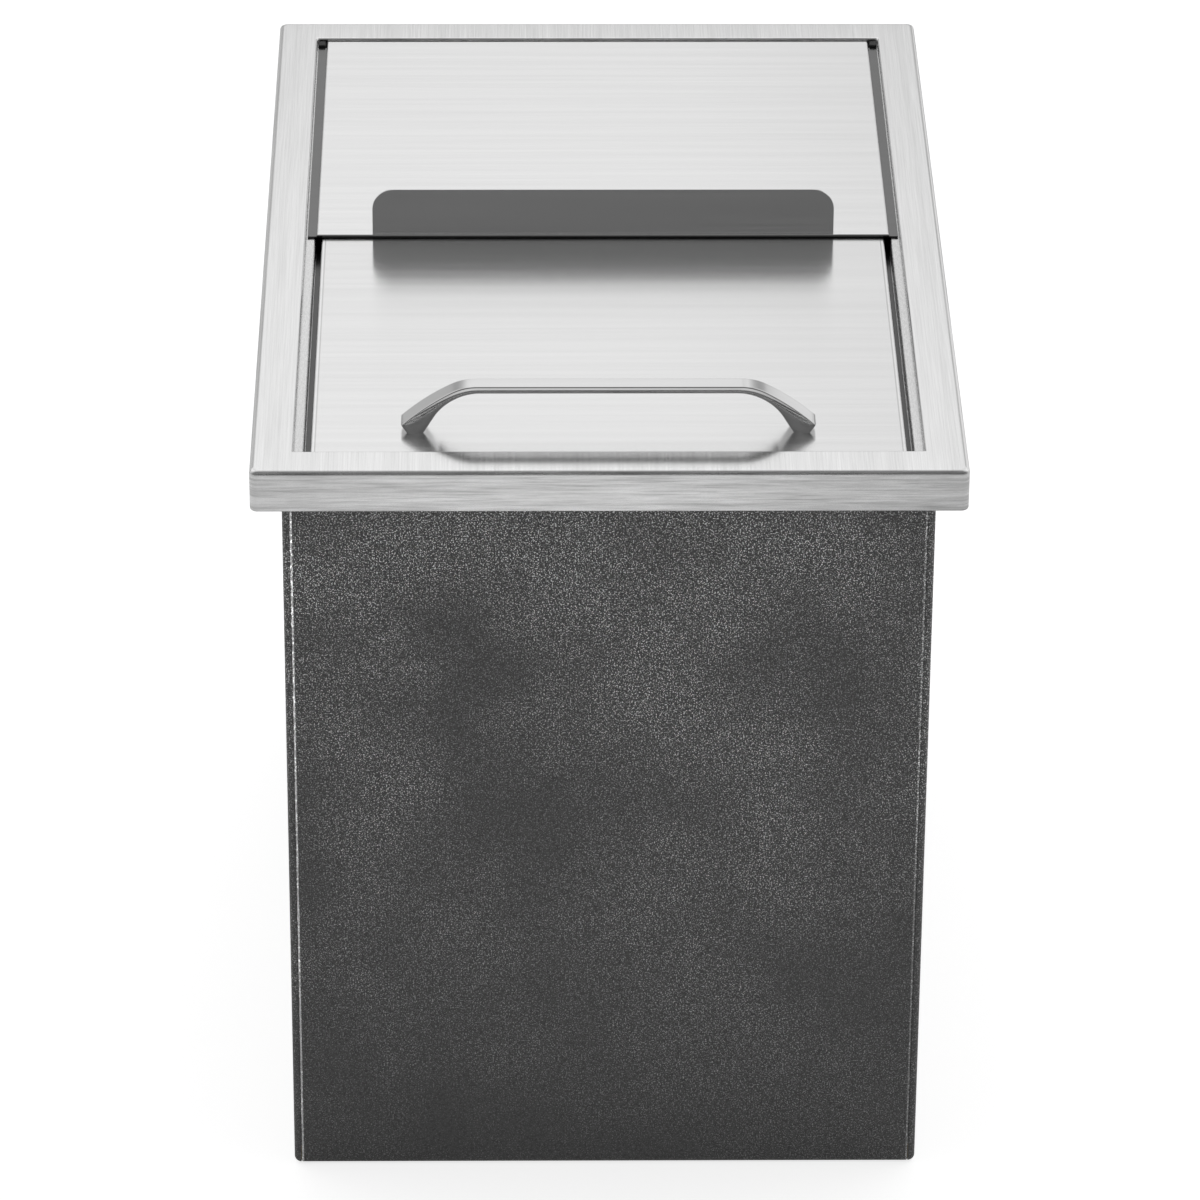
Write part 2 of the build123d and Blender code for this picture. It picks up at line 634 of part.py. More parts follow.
with BuildPart() as drain_body:
    with BuildSketch(Plane.XZ):
        with BuildLine():
            Polyline(
                (mouth_d / 2, drain_top),
                (drain_flange_d / 2, drain_top),
                (drain_flange_d / 2, drain_under),
                (drain_pipe_d / 2, drain_under),
                (drain_pipe_d / 2, drain_end),
                (outlet_d / 2, drain_end),
                (outlet_d / 2, drain_end + outlet_deep),
                (bore_d / 2, drain_end + outlet_deep),
                (bore_d / 2, strainer_floor),
                (mouth_low_d / 2, strainer_floor),
                (mouth_low_d / 2, drain_top - mouth_deep),
                close=True,
            )
        make_face()
    revolve(axis=Axis.Z)
    fillet(drain_body.edges().group_by(Axis.Z)[-1].sort_by(SortBy.RADIUS)[-1], drain_flange_thick / 2)
drain_body.part.label = "drain_body"
export_step(drain_body.part, "parts/drain_body.step")

with BuildPart() as drain_strainer:
    with BuildSketch(Plane.XY.offset(strainer_floor)):
        Circle(mouth_low_d / 2 - strainer_gap)
        with Locations((0, 0)):
            Circle(strainer_hole_d / 2, mode=Mode.SUBTRACT)
        with PolarLocations(strainer_ring_d / 2, strainer_holes):
            Circle(strainer_hole_d / 2, mode=Mode.SUBTRACT)
    extrude(amount=strainer_thick)
drain_strainer.part.label = "drain_strainer"
export_step(drain_strainer.part, "parts/drain_strainer.step")

with BuildPart() as drain_washer:
    with BuildSketch(Plane.XY.offset(base_underside - washer_drain_thick)):
        Circle(washer_drain_d / 2)
        Circle(drain_pipe_d / 2 + nut_gap, mode=Mode.SUBTRACT)
    extrude(amount=washer_drain_thick)
drain_washer.part.label = "drain_washer"
export_step(drain_washer.part, "parts/drain_washer.step")

with BuildPart() as drain_nut:
    with BuildSketch(Plane.XY.offset(base_underside - washer_drain_thick - nut_high)):
        RegularPolygon(nut_flats / 2, 6, major_radius=False)
        Circle(drain_pipe_d / 2 + nut_gap, mode=Mode.SUBTRACT)
    extrude(amount=nut_high)
drain_nut.part.label = "drain_nut"
export_step(drain_nut.part, "parts/drain_nut.step")


# Plug and its pull ring
plug_under = drain_top + plug_gap
plug_top = plug_under + plug_flange_thick
eye_z = plug_top + plug_tab_high - plug_tab_round
mouth_slope = (mouth_d - mouth_low_d) / 2 / mouth_deep
stem_top_r = mouth_d / 2 - plug_gap
with BuildPart() as drain_plug:
    with BuildSketch(Plane.XZ):
        with BuildLine():
            Polyline(
                (0, plug_top),
                (plug_flange_d / 2, plug_top),
                (plug_flange_d / 2, plug_under),
                (stem_top_r, plug_under),
                (stem_top_r - mouth_slope * plug_deep, plug_under - plug_deep),
                (0, plug_under - plug_deep),
                close=True,
            )
        make_face()
    revolve(axis=Axis.Z)
    fillet(drain_plug.edges().group_by(Axis.Z)[-1], plug_round)
    tab_plane = Plane((0, 0, plug_top), x_dir=(1, 0, 0), z_dir=(0, -1, 0))
    with BuildSketch(tab_plane):
        with Locations((0, plug_tab_high / 2)):
            Rectangle(plug_tab_wide, plug_tab_high)
    extrude(amount=plug_tab_thick / 2, both=True)
    fillet(drain_plug.edges().filter_by(Axis.Y).group_by(Axis.Z)[-1], plug_tab_round)
    with BuildSketch(tab_plane):
        with Locations((0, eye_z - plug_top)):
            Circle(ring_wire_d / 2 + ring_eye_gap)
    extrude(amount=plug_tab_thick, both=True, mode=Mode.SUBTRACT)
drain_plug.part.label = "drain_plug"
export_step(drain_plug.part, "parts/drain_plug.step")

# The ring goes through the eye and has dropped to the right, onto the plug's flange
ring_tilt = math.radians(ring_dip)
ring_x_dir = (math.cos(ring_tilt), 0, -math.sin(ring_tilt))
ring_axis = (math.sin(ring_tilt), 0, math.cos(ring_tilt))
ring_middle = (ring_d / 2 * ring_x_dir[0], 0, eye_z + ring_d / 2 * ring_x_dir[2])
with BuildPart() as plug_ring:
    with BuildSketch(Plane(ring_middle, x_dir=ring_x_dir, z_dir=(0, -1, 0))):
        with Locations((ring_d / 2, 0)):
            Circle(ring_wire_d / 2)
    revolve(axis=Axis(ring_middle, ring_axis))
plug_ring.part.label = "plug_ring"
export_step(plug_ring.part, "parts/plug_ring.step")


# Foam: poured between the body and the liner, a slab under the basin and a ring round it
foam_split = basin_floor - sheet
with BuildPart() as base_foam:
    add(shell_cavity.part)
    with BuildSketch(Plane.XY.offset(foam_split)):
        Rectangle(body_x, body_y)
    extrude(amount=rim_top - foam_split, mode=Mode.SUBTRACT)
    with BuildSketch():
        Rectangle(body_x, body_y)
    extrude(amount=2 * shell_sheet, mode=Mode.SUBTRACT)
    with BuildSketch(Plane.XY.offset(shell_sheet)):
        RectangleRounded(raised_x, raised_y, base_corner)
    extrude(amount=base_raise, mode=Mode.SUBTRACT)
    with BuildSketch():
        Circle(drain_pipe_d / 2)
    extrude(amount=foam_split, mode=Mode.SUBTRACT)
    add(basin_space(sheet), mode=Mode.SUBTRACT)
    add(base_rivets.part, mode=Mode.SUBTRACT)
    add(left_panel.part, mode=Mode.SUBTRACT)
    add(right_panel.part, mode=Mode.SUBTRACT)
base_foam.part.label = "base_foam"
export_step(base_foam.part, "parts/base_foam.step")

with BuildPart() as wall_foam:
    add(shell_cavity.part)
    with BuildSketch():
        Rectangle(body_x, body_y)
    extrude(amount=foam_split, mode=Mode.SUBTRACT)
    with BuildSketch(Plane.XY.offset(lower_ledge - sheet)):
        RectangleRounded(step_x + 2 * sheet, step_y + 2 * sheet, mouth_corner + 2 * sheet)
    extrude(amount=lower_ledge_drop, mode=Mode.SUBTRACT)
    add(basin_space(sheet), mode=Mode.SUBTRACT)
    add(left_panel.part, mode=Mode.SUBTRACT)
    add(right_panel.part, mode=Mode.SUBTRACT)
wall_foam.part.label = "wall_foam"
export_step(wall_foam.part, "parts/wall_foam.step")
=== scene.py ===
# %% [markdown]
# # A drop-in ice bin, dressed for a studio photograph
#
# The bin hangs by its rim in the cut-out of a bar's counter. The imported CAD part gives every
# piece its place. This script gives the pieces their metal, paint and rubber. It remakes the
# two whose brushed surface turns with their shape, the rim and the handle, and it sets up a
# plain studio with a camera. Lengths are in metres.

# %% Load the frame
import json
import math

import bmesh
import bpy
import numpy as np
from mathutils import Matrix, Vector


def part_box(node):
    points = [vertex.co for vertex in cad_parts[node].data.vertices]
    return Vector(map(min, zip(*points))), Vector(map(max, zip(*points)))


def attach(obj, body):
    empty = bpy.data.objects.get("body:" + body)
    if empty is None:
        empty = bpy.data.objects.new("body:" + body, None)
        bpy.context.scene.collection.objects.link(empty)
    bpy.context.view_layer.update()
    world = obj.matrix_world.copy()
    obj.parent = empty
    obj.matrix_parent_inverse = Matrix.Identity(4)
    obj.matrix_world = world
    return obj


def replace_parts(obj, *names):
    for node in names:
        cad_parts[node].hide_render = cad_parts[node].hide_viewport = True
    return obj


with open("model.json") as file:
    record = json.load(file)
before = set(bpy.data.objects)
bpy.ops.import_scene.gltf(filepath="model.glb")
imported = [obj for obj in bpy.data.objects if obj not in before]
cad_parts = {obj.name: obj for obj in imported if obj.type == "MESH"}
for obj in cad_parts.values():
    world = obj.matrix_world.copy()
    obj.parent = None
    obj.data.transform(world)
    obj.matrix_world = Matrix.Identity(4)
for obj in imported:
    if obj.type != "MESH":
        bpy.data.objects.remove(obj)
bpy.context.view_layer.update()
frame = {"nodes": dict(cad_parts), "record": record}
nodes = frame["nodes"]

# %% [markdown]
# ## Small helpers for materials
#
# A material is a short list of shader nodes. It could be wired by hand in the editor, but a few
# helpers that add one node and join its sockets keep each finish down to the lines that make it
# what it is.

# %% Shader nodes
def new_material(name):
    """An empty material with its shader and output; returns the material, its nodes and the shader."""
    material = bpy.data.materials.new(name)
    material.use_nodes = True
    tree = material.node_tree
    tree.nodes.clear()
    shader = tree.nodes.new("ShaderNodeBsdfPrincipled")
    output = tree.nodes.new("ShaderNodeOutputMaterial")
    tree.links.new(shader.outputs[0], output.inputs["Surface"])
    return material, tree, shader


def add(tree, kind, **settings):
    """One more shader node, with its properties set."""
    node = tree.nodes.new("ShaderNode" + kind)
    for key, value in settings.items():
        setattr(node, key, value)
    return node


def times(tree, first, second):
    """The product of two values."""
    node = add(tree, "Math", operation="MULTIPLY")
    tree.links.new(first, node.inputs[0])
    tree.links.new(second, node.inputs[1])
    return node.outputs[0]


def unsigned(tree, value):
    """A value without its sign, such as how far left or right of the middle a point is."""
    node = add(tree, "Math", operation="ABSOLUTE")
    tree.links.new(value, node.inputs[0])
    return node.outputs[0]


def object_place(tree):
    """The point in the part's own axes, and the node that splits it into X, Y and Z."""
    place = add(tree, "TexCoord").outputs["Object"]
    split = add(tree, "SeparateXYZ")
    tree.links.new(place, split.inputs[0])
    return place, split.outputs


print("node helpers ready")

# %% [markdown]
# ## Noise, and the part of it that counts
#
# Brushing, mottling and the paint's painted glints are all the same soft noise at different scales.
# Stretched along one direction it turns into scratches, each long one way and very thin the other
# way. Its values bunch round the middle, so a finish spreads the middle band over the range it needs.

# %% Noise
def noise(tree, place, stretch, detail=3.0, roughness=0.6):
    """Noise whose grain is 1 / stretch metres long along each axis; returns its value socket."""
    scale = add(tree, "VectorMath", operation="MULTIPLY")
    scale.inputs[1].default_value = stretch
    tree.links.new(place, scale.inputs[0])
    grain = add(tree, "TexNoise")
    grain.inputs["Scale"].default_value = 1.0
    grain.inputs["Detail"].default_value = detail
    grain.inputs["Roughness"].default_value = roughness
    tree.links.new(scale.outputs[0], grain.inputs["Vector"])
    return grain.outputs["Fac"]


def remap(tree, value, low, high, start=0.3, end=0.7):
    """low + (high - low) * (value - start) / (end - start), held between low and high."""
    node = add(tree, "MapRange")
    for socket, number in zip(("From Min", "From Max", "To Min", "To Max"), (start, end, low, high)):
        node.inputs[socket].default_value = number
    tree.links.new(value, node.inputs["Value"])
    return node.outputs["Result"]


print("noise helpers ready")

# %% [markdown]
# ## Brushed stainless steel
#
# The sheet is brushed on a belt before it is cut and folded, so the scratches run dead straight.
# A real scratch scatters light across itself and hardly along itself. A picture of scratches
# would be the quick way, but it blurs from near by. Here the highlight is stretched across the
# grain instead, and thin streaks of noise vary the grey, the roughness and a very small bump.
#
# A piece whose grain turns with its surface carries a map, in metres, whose first number runs
# along the scratches. The other pieces have one grain direction in the part's own axes.

# %% Direction of the scratches
QUARTER_TURN = 0.25   # the map's tangent runs along the scratches, and the highlight across them
OFF_AXIS = 0.013      # a slight slant, so that no flat face is exactly square to the grain


def grain_place(tree, shader, grain):
    """Where a point lies (along, across, across) the scratches in metres. It also sets the
    shader's tangent: the map's own, or the cross product of the normal and the grain axis."""
    if grain == "map":
        tangent = add(tree, "Tangent", direction_type="UV_MAP", uv_map="grain")
        tree.links.new(tangent.outputs[0], shader.inputs["Tangent"])
        shader.inputs["Anisotropic Rotation"].default_value = QUARTER_TURN
        return add(tree, "UVMap", uv_map="grain").outputs[0]
    across = add(tree, "VectorMath", operation="CROSS_PRODUCT")
    tree.links.new(add(tree, "NewGeometry").outputs["Normal"], across.inputs[0])
    across.inputs[1].default_value = [1.0 if axis == grain else OFF_AXIS for axis in "XYZ"]
    tree.links.new(across.outputs[0], shader.inputs["Tangent"])
    parts = object_place(tree)[1]
    turned = add(tree, "CombineXYZ")
    for source, target in zip(grain + "XYZ".replace(grain, ""), "XYZ"):
        tree.links.new(parts[source], turned.inputs[target])
    return turned.outputs[0]


print("the grain is slanted by", OFF_AXIS)

# %% [markdown]
# ## Where steel isn't evenly bright
#
# The sides and flanges of a cover lie in the slot beside it, so below a given height their grey is
# darkened as painted shade. Along a fold, a thin painted shade line with a painted highlight past
# it stands for the bend. Both could be painted on by hand; a step in height and a pair of steps
# sideways do it exactly.

# %% Painted shade on sides and folds
SIDE_STEP = 0.0004                         # height over which the sides' painted shade sets in
CREASE_NEAR, CREASE_FAR = 0.0001, 0.0007   # from the fold line's middle to its full and to no painted shade
FOLD_SHADE_GREY, FOLD_HIGHLIGHT = 0.7, 1.5       # painted shade: share of grey on the line; painted highlight: how far it rises past it


def shaded_below(tree, shade, height, keeps):
    """The shade times a step, as painted shade: 1 above the height, and the share that it keeps below it.
    """
    up = object_place(tree)[1]["Z"]
    return times(tree, shade, remap(tree, up, keeps, 1.0, start=height, end=height + SIDE_STEP))


def fold_line_shade(tree, shade, aside):
    """The shade times a thin painted shade line at a distance aside, on both sides of the middle, with a
    painted highlight just past it.
    """
    sideways = unsigned(tree, object_place(tree)[1]["X"])
    # painted shade dips the grey to a thin line, and a painted highlight lifts it just past the line
    dull = remap(tree, sideways, 1.0, FOLD_SHADE_GREY, start=aside - CREASE_FAR, end=aside - CREASE_NEAR)
    clear = remap(tree, sideways, 1.0, FOLD_HIGHLIGHT, start=aside + CREASE_NEAR, end=aside + CREASE_FAR)
    return times(tree, shade, times(tree, dull, clear))


print("a crease is", round(2000 * CREASE_FAR, 1), "mm wide at most")

# %% [markdown]
# ## The steel itself
#
# Two noises make the grey: fine lines, and soft bands about eight times as wide, where the belt
# pressed harder. The lines also set how rough the steel is and give it its bump, so a dark line
# is a scratch in each of the three.

# %% Brushed steel
BAND_ALONG, BAND_WIDTH = 1.5, 0.12       # the bands' stretch along, and across as a share of the lines'
ROUGH_LOW, ROUGH_HIGH = 0.85, 1.15       # how far the roughness strays
SCRATCH_BUMP, SCRATCH_DEEP = 0.05, 0.0002


def brushed_steel(name, grain, grey, rough, stretched, streaks, fine=1100.0, long=5.0, metal=1.0,
                  hidden=None, crease=None):
    """Steel brushed along an axis or by its grain map; streaks is how far its grey strays. hidden is a
    height and the share of its grey that the steel keeps below it, as painted shade. crease is how far
    to the left and right of the middle a side fold begins, marked by a painted shade line and highlight."""
    material, tree, shader = new_material(name)
    place = grain_place(tree, shader, grain)
    lines = noise(tree, place, (long, fine, fine), detail=4.0, roughness=0.7)
    bands = noise(tree, place, (BAND_ALONG, BAND_WIDTH * fine, BAND_WIDTH * fine), detail=2.0)
    both = add(tree, "Math", operation="ADD")
    tree.links.new(remap(tree, lines, -streaks, streaks), both.inputs[0])
    tree.links.new(remap(tree, bands, grey - streaks / 2, grey + streaks / 2), both.inputs[1])
    shade = both.outputs[0]
    # painted shade on the sides in the slot, and a painted shade line with a highlight along a fold
    if hidden:
        shade = shaded_below(tree, shade, *hidden)
    if crease:
        shade = fold_line_shade(tree, shade, crease)
    tree.links.new(shade, shader.inputs["Base Color"])
    tree.links.new(remap(tree, lines, rough * ROUGH_LOW, rough * ROUGH_HIGH), shader.inputs["Roughness"])
    bump = add(tree, "Bump")
    bump.inputs["Strength"].default_value = SCRATCH_BUMP
    bump.inputs["Distance"].default_value = SCRATCH_DEEP
    tree.links.new(lines, bump.inputs["Height"])
    tree.links.new(bump.outputs[0], shader.inputs["Normal"])
    shader.inputs["Metallic"].default_value = metal
    shader.inputs["Anisotropic"].default_value = stretched
    return material


print("steel's bump is", SCRATCH_DEEP * 1000, "mm deep")

# %% [markdown]
# ## One steel for each finish
#
# The covers are the smoothest sheet. The rim was brushed front to back with a coarser belt, and
# its lip along its length after folding, so the lip's streaks are the widest and strongest. The
# rails carry the scuffs of the sliding cover. The basin is drawn and then matted. The handle is
# polished on a soft belt, and screws and washers come bright and turned.

# %% The bin's steels
FRONT_SIDES, REAR_SIDES = (0.5305, 0.1), (0.5372, 0.2)   # top of the sides' painted shade, and the share of grey kept below it
# where the front cover's painted fold line lies, to the left and right of the middle
FRONT_CREASE = 0.1878
cover_brushing = dict(grain="X", rough=0.19, stretched=0.8, streaks=0.04)
steel_covers = brushed_steel("brushed steel, covers", grey=0.81, **cover_brushing)
steel_front = brushed_steel(
    "brushed steel, front cover", grey=0.81, hidden=FRONT_SIDES, crease=FRONT_CREASE, **cover_brushing
)
steel_rear = brushed_steel("brushed steel, rear cover", grey=0.84, hidden=REAR_SIDES, **cover_brushing)
steel_rim = brushed_steel(
    "brushed steel, rim", "map", grey=0.765, rough=0.19, stretched=0.85, streaks=0.08, fine=900.0, long=12.0
)
steel_lip = brushed_steel(
    "brushed steel, lip", "map", grey=0.72, rough=0.26, stretched=0.75, streaks=0.24, fine=520.0, long=22.0
)
steel_rails = brushed_steel(
    "brushed steel, rails", "Y", grey=0.70, rough=0.26, stretched=0.6, streaks=0.12, fine=900.0, long=200.0
)
steel_basin = brushed_steel(
    "satin steel, basin", "Z", grey=0.82, rough=0.36, stretched=0.5, streaks=0.04, metal=0.75
)
steel_handle = brushed_steel(
    "polished steel, handle", "map", grey=0.67, rough=0.1, stretched=0.4, streaks=0.03
)
steel_fixings = brushed_steel(
    "bright steel, fixings", "Z", grey=0.70, rough=0.22, stretched=0.0, streaks=0.03
)
print("steel:", [m.name for m in bpy.data.materials if "steel" in m.name])

# %% [markdown]
# ## Powder coat
#
# The outer body is powder coated: resin melted on in an oven, which leaves a fine pebbled skin.
# The glints on the pebbles' tips are painted into the colour as pale specks. They gather in clouds
# and are painted brighter towards the top of the body, as if lit from above. Along each side edge of
# the front and back panels, a thin pale line is a painted highlight on the bend, brighter on the
# left. Noise in the colour is enough for all of this, and only the pebbles need a bump.

# %% Powder coat
PEBBLE = 0.002               # how far across a pebble is
GLINTS_PER_PEBBLE = 2.2
CLOUDS_PER_METRE = 8.0
SHEEN_TOP = 0.45             # height at which the painted glints reach their full brightness, a painted sheen from above
SHEEN_LOW, SHEEN_HIGH = 0.4, 2.0
GLINT_FROM, GLINT_FULL = 0.55, 0.67   # part of the noise that is a painted glint
CLOUD_FROM, CLOUD_FULL = 0.34, 0.62
GLINT_DIM, GLINT_BRIGHT = 2.4, 8.8    # times the paint's grey, outside and inside a cloud
PEBBLE_DARK, PEBBLE_PALE = 0.88, 1.42
EDGE_HIGHLIGHT_LEFT, EDGE_HIGHLIGHT_RIGHT = 7.5, 3.0      # painted highlight on the panels' side edges, times the paint's grey
EDGE_HIGHLIGHT_STEP = 0.0003


def powder_coat(name, grey, highlight_from=None):
    """Matt paint: pebbles + painted glints * painted sheen by height * clouds. Past the given distance,
    on either side of the middle, a panel's edge gets a painted highlight, stronger on the left."""
    material, tree, shader = new_material(name)
    place, axes = object_place(tree)
    pebbles = noise(tree, place, (1 / PEBBLE,) * 3, detail=2.0, roughness=0.5)
    glints = noise(tree, place, (GLINTS_PER_PEBBLE / PEBBLE,) * 3, detail=2.0, roughness=0.6)
    cloud = noise(tree, place, (CLOUDS_PER_METRE,) * 3, detail=3.0, roughness=0.55)
    # painted sheen: the glints are painted brighter towards the top of the body, as if lit from above
    painted_sheen = remap(tree, axes["Z"], SHEEN_LOW, SHEEN_HIGH, start=0.0, end=SHEEN_TOP)
    glint_strength = remap(tree, cloud, GLINT_DIM * grey, GLINT_BRIGHT * grey, start=CLOUD_FROM, end=CLOUD_FULL)
    # painted glints: pale specks painted into the colour, stronger inside clouds
    painted_glints = add(tree, "Math", operation="MULTIPLY_ADD")
    tree.links.new(remap(tree, glints, 0.0, 1.0, start=GLINT_FROM, end=GLINT_FULL), painted_glints.inputs[0])
    tree.links.new(times(tree, painted_sheen, glint_strength), painted_glints.inputs[1])
    tree.links.new(remap(tree, pebbles, PEBBLE_DARK * grey, PEBBLE_PALE * grey), painted_glints.inputs[2])
    shade = painted_glints.outputs[0]
    # painted highlight along the panel's side edges, stronger on the left than on the right
    if highlight_from:
        left = remap(tree, axes["X"], EDGE_HIGHLIGHT_LEFT, 1.0, start=-highlight_from - EDGE_HIGHLIGHT_STEP, end=-highlight_from)
        right = remap(tree, axes["X"], 1.0, EDGE_HIGHLIGHT_RIGHT, start=highlight_from, end=highlight_from + EDGE_HIGHLIGHT_STEP)
        shade = times(tree, shade, times(tree, left, right))
    tree.links.new(shade, shader.inputs["Base Color"])
    tree.links.new(remap(tree, glints, 0.55, 0.38), shader.inputs["Roughness"])
    shader.inputs["Specular IOR Level"].default_value = 0.35
    bump = add(tree, "Bump")
    bump.inputs["Strength"].default_value = 0.9
    bump.inputs["Distance"].default_value = 0.0008
    tree.links.new(pebbles, bump.inputs["Height"])
    tree.links.new(bump.outputs[0], shader.inputs["Normal"])
    return material


CHARCOAL = 0.12
# where the front and back panels' painted edge highlight begins, left and right of the middle
SEAM_HIGHLIGHT_FROM = 0.2025
charcoal = powder_coat("charcoal powder coat", CHARCOAL)
charcoal_edge_highlights = powder_coat("charcoal powder coat, painted edge highlights", CHARCOAL, highlight_from=SEAM_HIGHLIGHT_FROM)
print("flecks are about", round(1000 * PEBBLE / GLINTS_PER_PEBBLE, 2), "mm across")

# %% [markdown]
# ## Rubber, brass, rivets and foam
#
# These lie in shade or out of sight, and differ mostly in colour and gloss. Rubber is matt,
# brass has gone dull in the wet, the drain and the rivets are plain metal, and the foam is the
# pale yellow skin of a poured insulation. One recipe does for all: a colour in soft spots.

# %% Mottled finishes
def mottled(name, colour, rough, metallic=0.0, size=0.004, swing=0.12):
    """A plain material whose colour and roughness vary a little in soft spots of the given size."""
    material, tree, shader = new_material(name)
    spots = noise(tree, object_place(tree)[0], (1 / size,) * 3)
    tint = add(tree, "Mix", data_type="RGBA", blend_type="MULTIPLY")
    tint.inputs["Factor"].default_value = 1.0
    tint.inputs["B"].default_value = (*colour, 1.0)
    tree.links.new(remap(tree, spots, 1 - swing, 1 + swing), tint.inputs["A"])
    tree.links.new(tint.outputs["Result"], shader.inputs["Base Color"])
    tree.links.new(remap(tree, spots, rough * 0.9, rough * 1.1), shader.inputs["Roughness"])
    shader.inputs["Metallic"].default_value = metallic
    return material


black_rubber = mottled("black rubber", (0.02, 0.02, 0.021), 0.6)
plug_rubber = mottled("plug rubber", (0.035, 0.035, 0.037), 0.55)
brass = mottled("dull brass", (0.62, 0.44, 0.2), 0.35, metallic=1.0)
drain_steel = mottled("satin steel, drain", (0.66, 0.67, 0.68), 0.33, metallic=1.0, swing=0.05)
aluminium = mottled("rivet aluminium", (0.78, 0.78, 0.79), 0.35, metallic=1.0, swing=0.05)
foam = mottled("insulating foam", (0.62, 0.5, 0.28), 0.85, size=0.012)
print("rubber, brass, rivets and foam ready")

# %% [markdown]
# ## Every piece gets its material
#
# The imported part names a material slot for each piece, and a slot's material replaces the plain
# one that came with the frame. A few pieces of a slot differ from the rest: the rails, the two
# covers with painted shade on their sides, and the two panels with a painted highlight on their edges.

# %% Dress the frame by slot
slot_looks = {
    "brushed_stainless": steel_covers,
    "satin_stainless": steel_basin,
    "polished_stainless": steel_handle,
    "fastener_steel": steel_fixings,
    "charcoal_powder_coat": charcoal,
    "rivet_aluminium": aluminium,
    "black_rubber": black_rubber,
    "plug_rubber": plug_rubber,
    "drain_steel": drain_steel,
    "drain_brass": brass,
    "insulating_foam": foam,
}
own_looks = {
    "left_rail": steel_rails,
    "right_rail": steel_rails,
    "front_cover": steel_front,
    "rear_cover": steel_rear,
    "front_panel": charcoal_edge_highlights,
    "back_panel": charcoal_edge_highlights,
}
for part in frame["record"]["subparts"]:
    look = own_looks.get(part["node"], slot_looks[part["material_slot"]])
    for place in nodes[part["node"]].material_slots:
        place.material = look

# %% [markdown]
# ## Surfaces from a grid of points
#
# A folded sheet or a bar is a grid: one direction follows its run, the other its section, which
# closes on itself. A ring's run closes too, and a bar's has a flat cap at each end. A curve with
# a bevel could draw the same shape, but it can't carry the map that turns the scratches.
#
# Each corner of each face gets its place on the grain map. Each point's shading direction is the
# mean of its faces weighted by their size, so a broad flat face stays flat up to the tight bend
# beside it.

# %% Faces of a grid
def corners_of(grid, ring):
    """The four corner values of each face of a grid whose second direction wraps round."""
    down = np.roll(grid, -1, 0)
    faces = np.stack([grid, np.roll(grid, -1, 1), np.roll(down, -1, 1), down], 2)
    return faces if ring else faces[:-1]


def shading_of(flat, quads):
    """Each point's direction: the sum of its faces' diagonals crossed, made one long."""
    sized = np.cross(flat[quads[:, 2]] - flat[quads[:, 0]], flat[quads[:, 3]] - flat[quads[:, 1]])
    shading = np.zeros_like(flat)
    for corner in range(4):
        np.add.at(shading, quads[:, corner], sized)
    return shading / np.linalg.norm(shading, axis=1, keepdims=True)


def metal_volume(mesh):
    """The volume inside a closed mesh in cm3, which is negative if its faces point inwards."""
    solid = bmesh.new()
    solid.from_mesh(mesh)
    volume = solid.calc_volume(signed=True) * 1e6
    solid.free()
    return volume


print("face helpers ready")

# %% Grid surface
def grid_mesh(name, points, along, across, materials, material_of=None, ring=True):
    """A closed piece from points[i, j] = (x, y, z), with i along the run and j round it. along and
    across give each face corner's place on the grain map, material_of each face's material. A
    ring's run wraps round; a bar's ends get caps."""
    count = points.shape[1]
    quads = corners_of(np.arange(points[..., 0].size).reshape(points.shape[:2]), ring).reshape(-1, 4)
    flat = points.reshape(-1, 3)
    polygons = quads.tolist()
    loop_shading = shading_of(flat, quads)[quads].reshape(-1, 3)
    grain = np.stack([along, across], -1).reshape(-1, 2)
    if not ring:
        first, last = np.arange(count)[::-1], len(flat) - count + np.arange(count)
        for cap in (first, last):
            middle = flat[cap].mean(0)
            outward = np.cross(flat[cap] - middle, flat[np.roll(cap, -1)] - middle).sum(0)
            polygons.append(cap.tolist())
            loop_shading = np.concatenate([loop_shading, [outward / np.linalg.norm(outward)] * count])
            grain = np.concatenate([grain, flat[cap][:, :2]])
    mesh = bpy.data.meshes.new(name)
    mesh.from_pydata(flat.tolist(), [], polygons)
    mesh.uv_layers.new(name="grain").data.foreach_set("uv", grain.ravel().astype(np.float32))
    for material in materials:
        mesh.materials.append(material)
    if material_of is not None:
        mesh.polygons.foreach_set("material_index", material_of.reshape(-1).astype(np.int32))
    mesh.shade_smooth()
    mesh.normals_split_custom_set(loop_shading.tolist())
    piece = bpy.data.objects.new(name, mesh)
    bpy.context.scene.collection.objects.link(piece)
    print(f"{name}: {len(polygons)} faces, {metal_volume(mesh):.1f} cm3 of metal")
    return piece


print("grid surface ready")

# %% [markdown]
# ## Lines, arcs and lengths
#
# Bent sheet is straight lines joined by arcs. The grain map needs to know how far along such a
# line each point lies, as if the bend were rolled out flat again.

# %% Arcs and lengths
def arc(centre, radius, start, end, steps=6):
    """Points on an arc, from and to the angles in degrees: centre + radius (cos, sin)."""
    angle = np.radians(np.linspace(start, end, steps + 1))
    return np.stack([centre[0] + radius * np.cos(angle), centre[1] + radius * np.sin(angle)], -1)


def travelled(points):
    """How far along a line of points each one lies, with the way back to the first at the end."""
    steps = np.linalg.norm(np.roll(points, -1, 0) - points, axis=1)
    return np.concatenate([[0], np.cumsum(steps)])


def unrolled(run, girth):
    """Each face corner's place along and across, where the scratches follow the run."""
    i, j = np.meshgrid(np.arange(len(run) - 1), np.arange(len(girth) - 1), indexing="ij")
    along = np.stack([run[i], run[i], run[i + 1], run[i + 1]], -1)
    return along, np.stack([girth[j], girth[j + 1], girth[j + 1], girth[j]], -1)


print("arcs and lengths ready")

